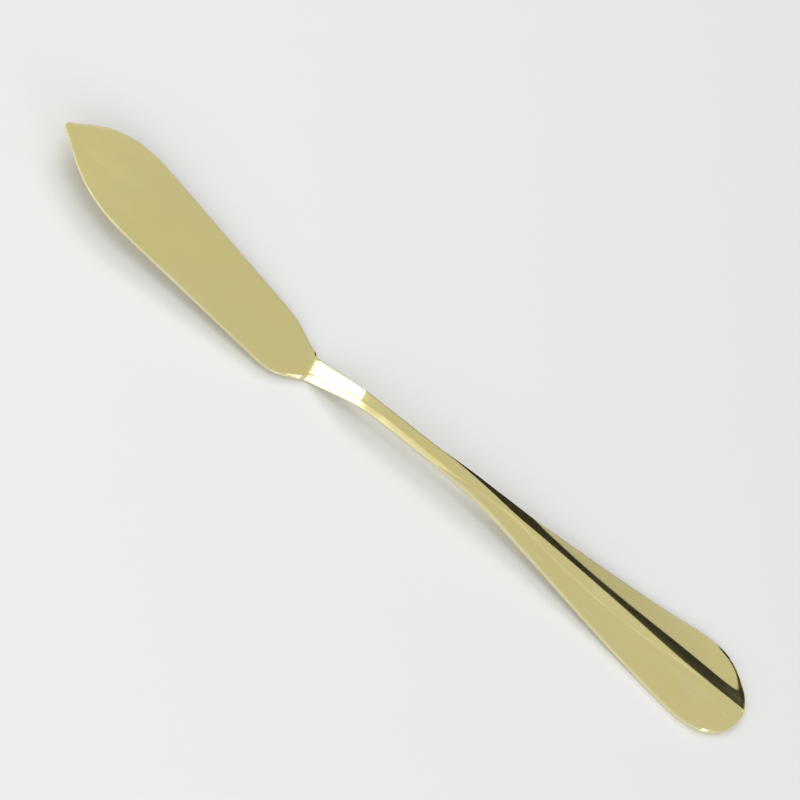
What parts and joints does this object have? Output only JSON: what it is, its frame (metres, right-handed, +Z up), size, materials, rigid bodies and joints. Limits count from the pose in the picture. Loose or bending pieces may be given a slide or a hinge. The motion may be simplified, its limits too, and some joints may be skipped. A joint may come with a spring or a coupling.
{
  "type": "butter knife",
  "caption": "Small gold-plated butter knife: leaf-shaped blade with a bellied edge, flat rising neck, slim stem and an arched handle that flares to a round end under a raised ridge.",
  "frame": {"origin": "on the table, under the heel where the blade meets the neck, on the handle's axis", "axes": "+X along the handle's axis towards its round end, +Y towards the blade's bellied edge, +Z up, away from the table"},
  "size_m": [0.1664, 0.0214, 0.006],
  "materials": {
    "gold_plate": "polished pale gold plating on stainless steel",
    "braze_metal": "dull brazing metal, hidden in the joint"
  },
  "bodies": {
    "root": {"blade": "gold_plate", "handle": "gold_plate", "braze": "braze_metal"}
  },
  "joints": []
}
